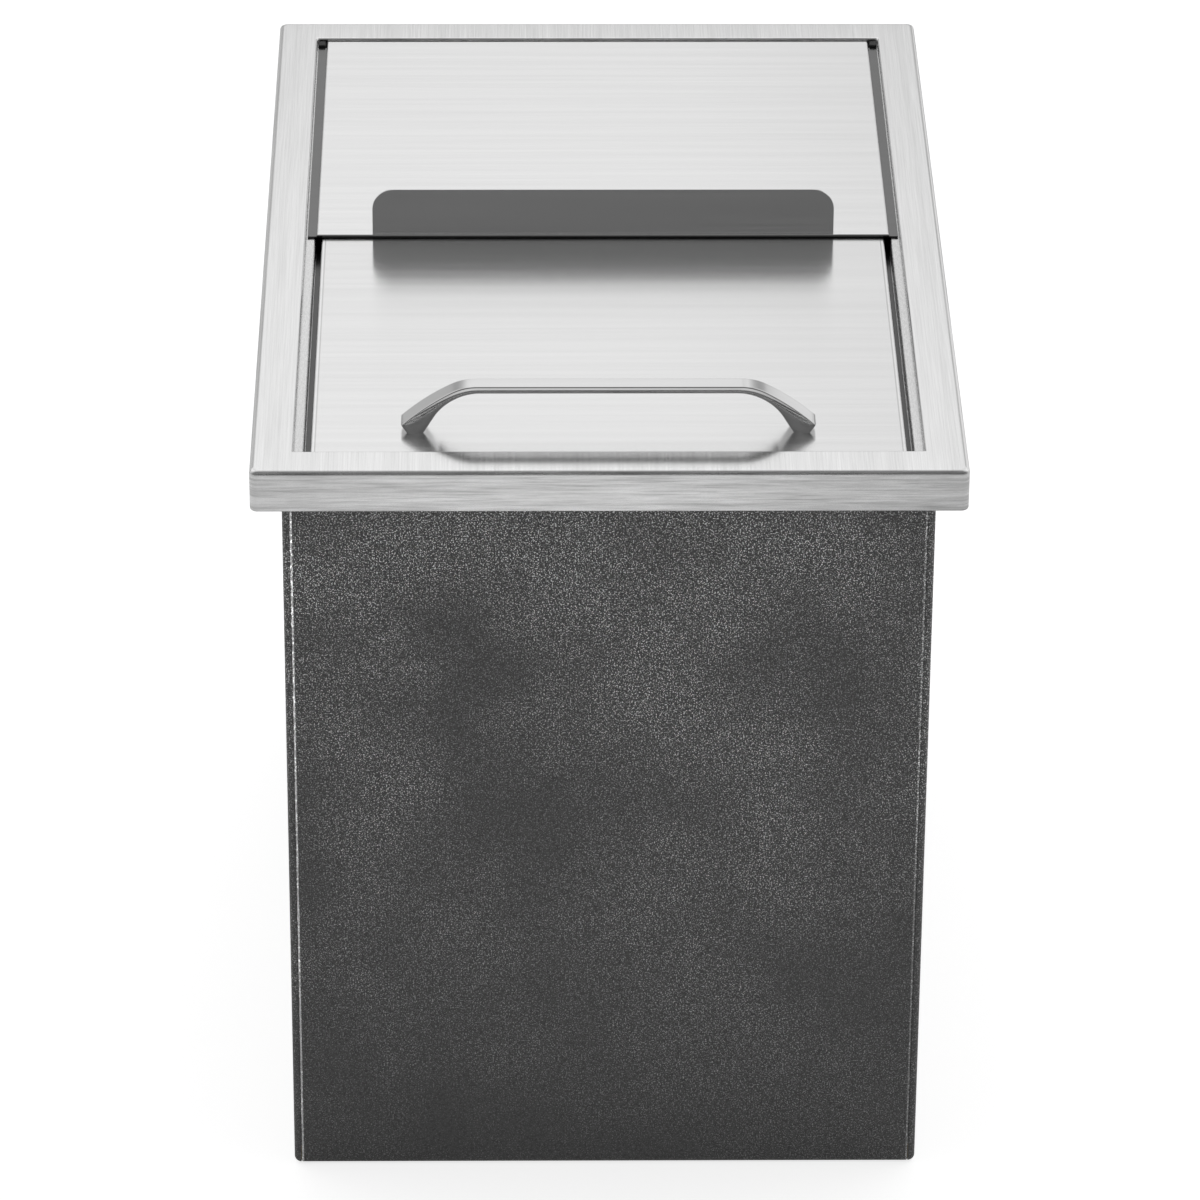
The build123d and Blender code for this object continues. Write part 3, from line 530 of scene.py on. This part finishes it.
# %% [markdown]
# ## Rim
#
# One sheet of steel, folded down round its outer edge into a lip, with a short return under the
# lip and a short web down into the mouth. A plate with a bevel would look near enough from
# above, but it is the folds that catch the light. So it is a stack of rounded rectangles: each
# point of the section is one rectangle round the bin, at its own size and height.

# %% Section of the rim
SHEET = 0.001
OUTER_BEND, MOUTH_BEND, HEM_BEND = 0.0036, 0.0014, 0.0016
HEM_INSIDE = 0.0002          # inner radius of the return's fold
LIP_RETURN = 0.009
RIM_FACE = 0.201             # from the middle to the mouth's side
WEB_BOTTOM = 0.5365
rim_low, rim_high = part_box("rim_frame")
rim_half = np.array([rim_high.x, rim_high.y])
mouth_in = rim_high.x - RIM_FACE


def rim_section():
    """The section's outline as (distance in from the lip's face, height), all the way round."""
    top, low = rim_high.z, rim_low.z
    inner = OUTER_BEND - SHEET
    fold = SHEET + HEM_INSIDE
    skin = [
        [(mouth_in, WEB_BOTTOM)],
        arc((mouth_in - MOUTH_BEND, top - MOUTH_BEND), MOUTH_BEND, 0, 90),
        arc((OUTER_BEND, top - OUTER_BEND), OUTER_BEND, 90, 180, 8),
        arc((HEM_BEND, low + HEM_BEND), HEM_BEND, 180, 270),
        [(LIP_RETURN, low), (LIP_RETURN, low + SHEET)],
        arc((fold, low + fold), HEM_INSIDE, 270, 180, 2),
        arc((SHEET + inner, top - SHEET - inner), inner, 180, 90),
        [(mouth_in - SHEET, top - SHEET), (mouth_in - SHEET, WEB_BOTTOM)],
    ]
    return np.concatenate([np.array(part, float) for part in skin])


section = rim_section()
print("the rim's section has", len(section), "points")

# %% [markdown]
# The outer corners are rounded by 5 mm and the mouth's are nearly square. In between the radius
# changes evenly, so that the rectangles never cross. Both ends of the stack meet in the web.

# %% Points of the rim
RIM_CORNER, MOUTH_CORNER = 0.005, 0.0015


def rounded_rectangle(half_x, half_y, radius, steps=10):
    """Points round a rectangle with rounded corners: an arc at each corner, joined by its sides."""
    turns = [(1, 1, 0), (-1, 1, 90), (-1, -1, 180), (1, -1, 270)]
    corners = [
        arc((sx * (half_x - radius), sy * (half_y - radius)), radius, at, at + 90, steps)
        for sx, sy, at in turns
    ]
    return np.concatenate(corners)


corner_radius = np.interp(
    section[:, 0], [0, SHEET, mouth_in], [RIM_CORNER, RIM_CORNER - SHEET, MOUTH_CORNER]
)
rings = [
    rounded_rectangle(*(rim_half - inset), radius) for (inset, _), radius in zip(section, corner_radius)
]
rim_points = np.array([
    np.column_stack([ring, np.full(len(ring), height)]) for ring, (_, height) in zip(rings, section)
])
rim_points = rim_points.transpose(1, 0, 2)
print("the rim's grid is", rim_points.shape[:2])

# %% [markdown]
# The rim's top was brushed front to back as one sheet, so there the map is simply the place seen
# from above. The lip was brushed along its length after folding, a little coarser, so there the
# map is the sheet rolled out. A face is part of the lip where it is steeper than it is flat.

# %% Rim
faces = corners_of(rim_points, ring=True)
along, across = unrolled(travelled(rim_points[:, 0]), travelled(section))
slope = np.abs(np.roll(section, -1, 0) - section)
lies_flat = (slope[:, 0] > slope[:, 1])[None, :, None]
is_lip = np.broadcast_to(~lies_flat[..., 0], faces.shape[:2])
rim = grid_mesh(
    "rim",
    rim_points,
    np.where(lies_flat, faces[..., 1], along),
    np.where(lies_flat, faces[..., 0], across),
    [steel_rim, steel_lip],
    is_lip,
)
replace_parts(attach(rim, "bin"), "rim_frame")

# %% [markdown]
# ## Bar handle
#
# A flat bar is bent into a low bow and its legs are forged wider towards the feet. It could be a
# curve with a bevel, but the legs grow as they turn. So two lines are drawn instead, one along
# the top and one along the underside, and each section runs from a point on the one to a point
# on the other. Heights here are above the sole, and distances from the handle's middle.

# %% Lines of the handle
handle_low, handle_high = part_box("bar_handle")
sole_height, handle_y = handle_low.z, (handle_low.y + handle_high.y) / 2
BAR_TOP, BAR_UNDER = 0.0325, 0.0275
TOP_END, UNDER_END = (0.085, BAR_TOP), (0.0825, BAR_UNDER)
SHOULDER_END, LEG_END, ARCH_END = (0.101, 0.0285), (0.1329, 0.0055), (0.1119, 0.0109)
SOLE_OUT, SOLE_IN = (0.1296, 0.0), (0.1184, 0.0)
LEVEL = (1.0, 0.0)


def tangent_arc(start, end, heading, steps=24):
    """Points on the arc that leaves start along heading and reaches end, and its heading there.
    Its centre lies square to the heading at distance chord^2 / (2 * sideways part of the chord)."""
    start, end, heading = (np.array(v, float) for v in (start, end, heading))
    chord, side = end - start, np.array([heading[1], -heading[0]])
    radius = chord @ chord / (2 * chord @ side)
    turn = 2 * math.atan2(chord @ side, chord @ heading)
    t = np.linspace(0, turn, steps + 1)[:, None]
    points = start + radius * (np.sin(t) * heading + (1 - np.cos(t)) * side)
    return points, math.cos(turn) * heading + math.sin(turn) * side


def spaced(path, count):
    """Points spread evenly by length along a path."""
    at = travelled(path)[:-1]
    return np.stack([np.interp(np.linspace(0, at[-1], count), at, path[:, k]) for k in (0, 1)], -1)


shoulder, heading = tangent_arc(TOP_END, SHOULDER_END, LEVEL)
leg, _ = tangent_arc(SHOULDER_END, LEG_END, heading)
arch, _ = tangent_arc(UNDER_END, ARCH_END, LEVEL)
inner_leg = np.array([ARCH_END, SOLE_IN])
half_top = np.concatenate([[(0.0, BAR_TOP)], spaced(np.concatenate([shoulder, leg[1:]]), 37), [SOLE_OUT]])
half_under = np.concatenate([[(0.0, BAR_UNDER)], spaced(arch, 31), spaced(inner_leg, 8)[1:]])
other_side = np.array([-1.0, 1.0])
top_line = np.concatenate([half_top[:0:-1] * other_side, half_top])
under_line = np.concatenate([half_under[:0:-1] * other_side, half_under])
print("the handle has", len(top_line), "sections")

# %% [markdown]
# The bar's front and back are polished slightly round, by nine degrees at most. It is hardly
# seen in the outline, but a flat front would mirror one tone. The round one mirrors the pale
# floor in its upper half and the rim in its lower half, as two bands. The section is deeper at
# the feet.

# %% Section of the handle
BAR_DEEP, FOOT_DEEP = 0.0125, 0.0165
HANDLE_EDGE, CROWN = 0.0008, math.radians(9)
BAR_NORMALS = np.concatenate([
    np.linspace(-math.pi / 2, -CROWN, 5),
    np.linspace(-CROWN, CROWN, 15)[1:-1],
    np.linspace(CROWN, math.pi / 2, 5),
])


def bar_section(top, under):
    """The outline round one place of the bar, from its point on top and the one below. Its front
    and back bulge by an arc of radius edge + (half the height - edge) / sin(crown), which runs into
    the rounded edges: a point is the arc's, moved out along the outline's heading by the edge."""
    middle, half = (top + under) / 2, np.linalg.norm(top - under) / 2
    upward = (top - under) / (2 * half)
    deep = np.interp(np.abs([top[0], under[0]]), [TOP_END[0], LEG_END[0]], [BAR_DEEP, FOOT_DEEP])
    reach = (half - HANDLE_EDGE) / math.sin(CROWN)
    held = np.clip(BAR_NORMALS, -CROWN, CROWN)
    y = deep.mean() / 2 + reach * (np.cos(held) - 1) + HANDLE_EDGE * (np.cos(BAR_NORMALS) - 1)
    lift = reach * np.sin(held) + HANDLE_EDGE * np.sin(BAR_NORMALS)
    y *= 1 + lift / half * (deep[0] - deep[1]) / (2 * deep.mean())
    y, lift = np.concatenate([y, -y[::-1]]), np.concatenate([lift, lift[::-1]])
    outline = np.column_stack([middle[0] + lift * upward[0], y, middle[1] + lift * upward[1]])
    return outline + (0, handle_y, sole_height)


bar_points = np.array([bar_section(top, under) for top, under in zip(top_line, under_line)])
print("handle", [round(float(v) * 1000, 2) for v in np.ptp(bar_points.reshape(-1, 3), axis=0)], "mm, CAD",
      [round(v * 1000, 2) for v in handle_high - handle_low])

# %% [markdown]
# The grain follows the bar round its bends, as a polishing belt does, so its map is the bar
# rolled out along its middle and round its girth.

# %% Handle
middle_line = (top_line + under_line) / 2
girth = bar_points[len(bar_points) // 2]
bar_map = unrolled(travelled(middle_line)[:-1], travelled(girth))
handle = grid_mesh("handle", bar_points, *bar_map, [steel_handle], ring=False)
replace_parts(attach(handle, "front_cover"), "bar_handle")

# %% [markdown]
# ## Floor
#
# The photograph has a pure white ground. A floor lit until it is white would light the bin too
# much. So the floor is white card that also glows a little for the camera alone, and it still
# keeps the bin's own shadow. Polished steel has to mirror such a floor as well, so the card also
# glows for mirrored rays, more in front of the bin's middle than beside it, which gives the lip
# its gentle fall of tone from the middle outwards.

# %% Floor
FLOOR_HALF = 6.0
floor_mesh = bpy.data.meshes.new("floor")
floor_mesh.from_pydata(
    [(x * FLOOR_HALF, y * FLOOR_HALF, 0.0) for x, y in ((-1, -1), (1, -1), (1, 1), (-1, 1))],
    [],
    [(0, 1, 2, 3)],
)
floor = bpy.data.objects.new("floor", floor_mesh)
bpy.context.scene.collection.objects.link(floor)
print("floor is", 2 * FLOOR_HALF, "m wide")

# %% White card
CARD_GREY = 0.6
CAMERA_GLOW = 0.76                       # what brings the lit card up to white
MIDDLE_GLOW, SIDE_GLOW = 0.48, 0.26      # for mirrored rays
MIDDLE_HALF, SIDE_FROM = 0.05, 0.28      # where the one ends and the other begins, sideways
card, tree, shader = new_material("white card")
shader.inputs["Base Color"].default_value = (CARD_GREY, CARD_GREY, CARD_GREY, 1.0)
shader.inputs["Roughness"].default_value = 0.9
shader.inputs["Specular IOR Level"].default_value = 0.0
glow = add(tree, "Emission")
glow.inputs["Color"].default_value = (1.0, 1.0, 1.0, 1.0)
rays = add(tree, "LightPath")
seen = add(tree, "Math", operation="MULTIPLY")
seen.inputs[1].default_value = CAMERA_GLOW
tree.links.new(rays.outputs["Is Camera Ray"], seen.inputs[0])
sideways = unsigned(tree, object_place(tree)[1]["X"])
fall = remap(tree, sideways, MIDDLE_GLOW, SIDE_GLOW, start=MIDDLE_HALF, end=SIDE_FROM)
mirrored = add(tree, "Math", operation="MULTIPLY_ADD")
tree.links.new(rays.outputs["Is Glossy Ray"], mirrored.inputs[0])
tree.links.new(fall, mirrored.inputs[1])
tree.links.new(seen.outputs[0], mirrored.inputs[2])
tree.links.new(mirrored.outputs[0], glow.inputs["Strength"])
both = add(tree, "AddShader")
tree.links.new(shader.outputs[0], both.inputs[0])
tree.links.new(glow.outputs[0], both.inputs[1])
tree.links.new(both.outputs[0], tree.nodes["Material Output"].inputs["Surface"])
floor_mesh.materials.append(card)
print("card glows by", CAMERA_GLOW, "for the camera")

# %% [markdown]
# ## Sky
#
# Lamps would draw sharp lines of light on the rim's round corners, so the light is all sky, a
# dome with soft changes of tone. It is bright behind and over the bin and dark in front of it,
# which is what a white room with the photographer's dark corner gives: the upright plate between
# the covers mirrors that corner. The sky is also darker low down, and a faint dark band just
# right of its middle is what the right side of the covers mirrors. To the sides it is darker,
# and far out it is bright again: the handle's shoulders mirror the one and its legs the other.
#
# A direction's X, Y and Z are its shares to the right, to the back and up, from -1 to 1.

# %% Sky by direction
BACK_SKY, FRONT_SKY = 1.38, 0.27
BAND_GREY = 0.88                       # what the faint band leaves of the sky
world = bpy.data.worlds.new("studio")
bpy.context.scene.world = world
world.use_nodes = True
tree = world.node_tree
tree.nodes.clear()
way = add(tree, "SeparateXYZ")
tree.links.new(add(tree, "TexCoord").outputs["Generated"], way.inputs[0])
right_of, back_of, up_of = (way.outputs[axis] for axis in "XYZ")
aside = unsigned(tree, right_of)
front_to_back = remap(tree, back_of, FRONT_SKY, BACK_SKY, start=-0.45, end=0.25)
low_to_high = remap(tree, up_of, 0.55, 0.99, start=0.355, end=0.45)
band_begins = remap(tree, right_of, 1.0, BAND_GREY, start=0.028, end=0.058)
band_ends = remap(tree, right_of, 1.0, 1 / BAND_GREY, start=0.07, end=0.14)
dark_sides = remap(tree, aside, 1.0, 0.75, start=0.15, end=0.25)
far_sides = remap(tree, aside, 1.0, 1.3, start=0.34, end=0.4)
print("sky from", FRONT_SKY, "in front to", BACK_SKY, "behind")

# %% [markdown]
# Low on the right it is brighter still, as beside a window, which lights the outer slope of the
# handle's right leg. The camera itself sees a plain white sky, whatever lights the bin.

# %% Sky as light and as background
SEEN_SKY = 1.3                         # with the background's own grey of 0.8 this is white
low_glow = remap(tree, up_of, 0.6, 0.0, start=0.25, end=0.35)
right_side = remap(tree, right_of, 0.0, 1.0, start=0.38, end=0.43)
bright_right = add(tree, "Math", operation="MULTIPLY_ADD")
bright_right.inputs[2].default_value = 1.0
tree.links.new(low_glow, bright_right.inputs[0])
tree.links.new(right_side, bright_right.inputs[1])
depth = times(tree, front_to_back, low_to_high)
band = times(tree, band_begins, band_ends)
sides = times(tree, times(tree, dark_sides, far_sides), bright_right.outputs[0])
level = times(tree, times(tree, depth, band), sides)
white = add(tree, "Mix", data_type="FLOAT")
tree.links.new(add(tree, "LightPath").outputs["Is Camera Ray"], white.inputs["Factor"])
tree.links.new(level, white.inputs["A"])
white.inputs["B"].default_value = SEEN_SKY
sky = add(tree, "Background")
tree.links.new(white.outputs["Result"], sky.inputs["Strength"])
tree.links.new(sky.outputs[0], add(tree, "OutputWorld").inputs["Surface"])
print("the camera sees a sky of", SEEN_SKY)

# %% [markdown]
# ## Camera
#
# The camera was fitted to the corners of the rim and the body in the photograph: it looks down
# at 29 degrees from nearly five metres away, through a long lens. The photograph's upright edges
# had been straightened, which a plain camera leaves out.

# %% Camera
TURN, TILT, ROLL = math.radians(0.86), math.radians(29.25), math.radians(0.34)
DISTANCE, FOCAL_PX, FRAME_PX = 4.712, 6752.0, 1200.0
SENSOR_MM = 36.0
LOOK_AT = Vector((-0.0006, 0.0, 0.2544))
forward = Vector((math.sin(TURN) * math.cos(TILT), math.cos(TURN) * math.cos(TILT), -math.sin(TILT)))
right = Vector((math.cos(TURN), -math.sin(TURN), 0.0))
up = right.cross(forward)
rolled_right = math.cos(ROLL) * right + math.sin(ROLL) * up
rolled_up = math.cos(ROLL) * up - math.sin(ROLL) * right
lens = bpy.data.cameras.new("camera")
lens.sensor_width = SENSOR_MM
lens.lens = FOCAL_PX / FRAME_PX * lens.sensor_width
camera = bpy.data.objects.new("camera", lens)
bpy.context.scene.collection.objects.link(camera)
axes = Matrix((rolled_right, rolled_up, -forward)).transposed().to_4x4()
camera.matrix_world = Matrix.Translation(LOOK_AT - DISTANCE * forward) @ axes
bpy.context.scene.camera = camera
bpy.context.scene.view_settings.view_transform = "Standard"
print("lens", round(lens.lens, 1), "mm at", round(DISTANCE, 2), "m")
